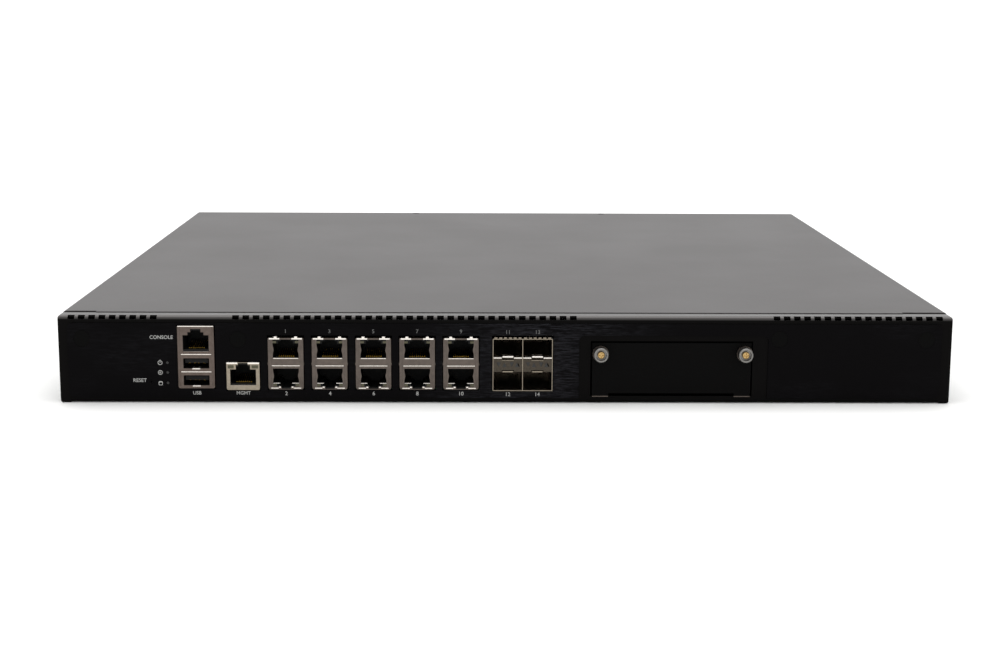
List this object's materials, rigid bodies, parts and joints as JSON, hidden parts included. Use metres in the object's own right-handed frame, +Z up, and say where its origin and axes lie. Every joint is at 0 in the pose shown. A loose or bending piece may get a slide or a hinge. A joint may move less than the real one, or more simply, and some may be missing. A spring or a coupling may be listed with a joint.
{
  "type": "firewall appliance",
  "caption": "Flat rack-height network appliance with a row of copper and transceiver ports, a blanked module bay, a lift-off lid and swappable power supplies.",
  "frame": {"origin": "middle of the base, under the centre of the whole appliance", "axes": "+Z up, -Y out of the port side, +X to the right seen from the port side"},
  "size_m": [0.438, 0.4474, 0.0436],
  "materials": {
    "textured_paint": "fine textured black powder coat",
    "overlay_black": "black overlay with a brushed grain",
    "nickel_steel": "nickel plated",
    "zinc_steel": "zinc coated",
    "screw_steel": "plated",
    "black_polyester": "moulded glass-filled polyester",
    "gold_contact": "gold plated",
    "clear_lens": "tinted clear, unlit",
    "circuit_board": "green solder mask",
    "chip_epoxy": "moulded epoxy",
    "bare_aluminium": "extruded",
    "chrome_wire": "nickel plated wire",
    "latch_green": "moulded"
  },
  "bodies": {
    "chassis": {"chassis_tray": "textured_paint", "rear_panel": "textured_paint", "front_label": "overlay_black", "front_studs": "overlay_black", "console_usb_shell": "nickel_steel", "console_usb_insert": "black_polyester", "jack_shells": "nickel_steel", "jack_inserts": "black_polyester", "jack_contacts": "gold_contact", "jack_leds": "clear_lens", "sfp_cage": "nickel_steel", "sfp_connectors": "black_polyester", "light_pipes": "clear_lens", "reset_switch": "black_polyester", "mainboard": "circuit_board", "board_standoffs": "zinc_steel", "machine_screws": "screw_steel", "processor": "chip_epoxy", "cpu_heatsink": "bare_aluminium", "chip_heatsink": "bare_aluminium", "board_chips": "chip_epoxy", "dimm_sockets": "black_polyester", "memory_modules": "circuit_board", "storage_module": "circuit_board", "coin_cell": "screw_steel", "bay_cage": "zinc_steel", "bay_connector": "black_polyester", "fan_frames": "black_polyester", "psu_cage": "zinc_steel", "power_board": "circuit_board", "switch_housing": "black_polyester"},
    "cover": {"top_cover": "textured_paint", "cover_screws": "screw_steel"},
    "module": {"module_blank": "textured_paint", "screw_collars": "nickel_steel"},
    "reset": {"reset_button": "black_polyester"},
    "rocker": {"power_rocker": "black_polyester"},
    "screw_lift_left": {"screw_spring_left": "screw_steel"},
    "screw_left": {"thumbscrew_left": "screw_steel"},
    "screw_lift_right": {"screw_spring_right": "screw_steel"},
    "screw_right": {"thumbscrew_right": "screw_steel"},
    "fan_1": {"fan_rotor_1": "black_polyester"},
    "fan_2": {"fan_rotor_2": "black_polyester"},
    "fan_3": {"fan_rotor_3": "black_polyester"},
    "fan_4": {"fan_rotor_4": "black_polyester"},
    "psu_a": {"psu_a_case": "zinc_steel", "psu_a_inlet": "black_polyester", "psu_a_board": "circuit_board", "psu_a_fan_frame": "black_polyester"},
    "psu_a_fan": {"psu_a_fan_rotor": "black_polyester"},
    "psu_a_bail": {"psu_a_handle": "chrome_wire"},
    "psu_a_release": {"psu_a_latch": "latch_green"},
    "psu_b": {"psu_b_case": "zinc_steel", "psu_b_inlet": "black_polyester", "psu_b_board": "circuit_board", "psu_b_fan_frame": "black_polyester"},
    "psu_b_fan": {"psu_b_fan_rotor": "black_polyester"},
    "psu_b_bail": {"psu_b_handle": "chrome_wire"},
    "psu_b_release": {"psu_b_latch": "latch_green"}
  },
  "joints": [
    {"name": "cover_lift", "type": "slide", "parent": "chassis", "child": "cover", "axis": [0, 0, 1], "range_m": [0, 0.06]},
    {"name": "module_slide", "type": "slide", "parent": "chassis", "child": "module", "axis": [0, -1, 0], "range_m": [0, 0.06]},
    {"name": "reset_press", "type": "slide", "parent": "chassis", "child": "reset", "axis": [0, 1, 0], "range_m": [0, 0.0005], "stiffness_N_per_m": 2000, "springref_m": -0.0004},
    {"name": "rocker_tilt", "type": "hinge", "parent": "chassis", "child": "rocker", "pos_m": [0.0265, 0.2101, 0.0216], "axis": [1, 0, 0], "range_deg": [-18, 0]},
    {"name": "screw_left_rise", "type": "slide", "parent": "module", "child": "screw_lift_left", "axis": [0, -1, 0], "range_m": [0, 0.0025], "deforming": ["screw_spring_left"]},
    {"name": "screw_left_turn", "type": "hinge", "parent": "screw_lift_left", "child": "screw_left", "pos_m": [0.046, -0.2169, 0.0251], "axis": [0, -1, 0], "range_deg": [0, 1800]},
    {"name": "screw_right_rise", "type": "slide", "parent": "module", "child": "screw_lift_right", "axis": [0, -1, 0], "range_m": [0, 0.0025], "deforming": ["screw_spring_right"]},
    {"name": "screw_right_turn", "type": "hinge", "parent": "screw_lift_right", "child": "screw_right", "pos_m": [0.1168, -0.2169, 0.0251], "axis": [0, -1, 0], "range_deg": [0, 1800]},
    {"name": "fan_1_spin", "type": "hinge", "parent": "chassis", "child": "fan_1", "pos_m": [-0.186, 0.1981, 0.0212], "axis": [0, 1, 0], "continuous": true},
    {"name": "fan_2_spin", "type": "hinge", "parent": "chassis", "child": "fan_2", "pos_m": [-0.135, 0.1981, 0.0212], "axis": [0, 1, 0], "continuous": true},
    {"name": "fan_3_spin", "type": "hinge", "parent": "chassis", "child": "fan_3", "pos_m": [-0.084, 0.1981, 0.0212], "axis": [0, 1, 0], "continuous": true},
    {"name": "fan_4_spin", "type": "hinge", "parent": "chassis", "child": "fan_4", "pos_m": [-0.033, 0.1981, 0.0212], "axis": [0, 1, 0], "continuous": true},
    {"name": "psu_a_slide", "type": "slide", "parent": "chassis", "child": "psu_a", "axis": [0, 1, 0], "range_m": [0, 0.2]},
    {"name": "psu_a_fan_spin", "type": "hinge", "parent": "psu_a", "child": "psu_a_fan", "pos_m": [0.113, 0.1987, 0.0208], "axis": [0, 1, 0], "continuous": true},
    {"name": "psu_a_bail_swing", "type": "hinge", "parent": "psu_a", "child": "psu_a_bail", "pos_m": [0.113, 0.2167, 0.0345], "axis": [1, 0, 0], "range_deg": [0, 90]},
    {"name": "psu_a_latch_press", "type": "hinge", "parent": "psu_a", "child": "psu_a_release", "pos_m": [0.0634, 0.1831, 0.0208], "axis": [0, 0, -1], "range_deg": [0, 2.8], "stiffness_Nm_per_rad": 0.3, "springref_deg": -2.86},
    {"name": "psu_b_slide", "type": "slide", "parent": "chassis", "child": "psu_b", "axis": [0, 1, 0], "range_m": [0, 0.2]},
    {"name": "psu_b_fan_spin", "type": "hinge", "parent": "psu_b", "child": "psu_b_fan", "pos_m": [0.1881, 0.1987, 0.0208], "axis": [0, 1, 0], "continuous": true},
    {"name": "psu_b_bail_swing", "type": "hinge", "parent": "psu_b", "child": "psu_b_bail", "pos_m": [0.1881, 0.2167, 0.0345], "axis": [1, 0, 0], "range_deg": [0, 90]},
    {"name": "psu_b_latch_press", "type": "hinge", "parent": "psu_b", "child": "psu_b_release", "pos_m": [0.1385, 0.1831, 0.0208], "axis": [0, 0, -1], "range_deg": [0, 2.8], "stiffness_Nm_per_rad": 0.3, "springref_deg": -2.86}
  ],
  "couplings": [
    {"joint": "screw_left_turn", "follows": "screw_left_rise", "rad_per_m": 12566},
    {"joint": "screw_right_turn", "follows": "screw_right_rise", "rad_per_m": 12566}
  ]
}
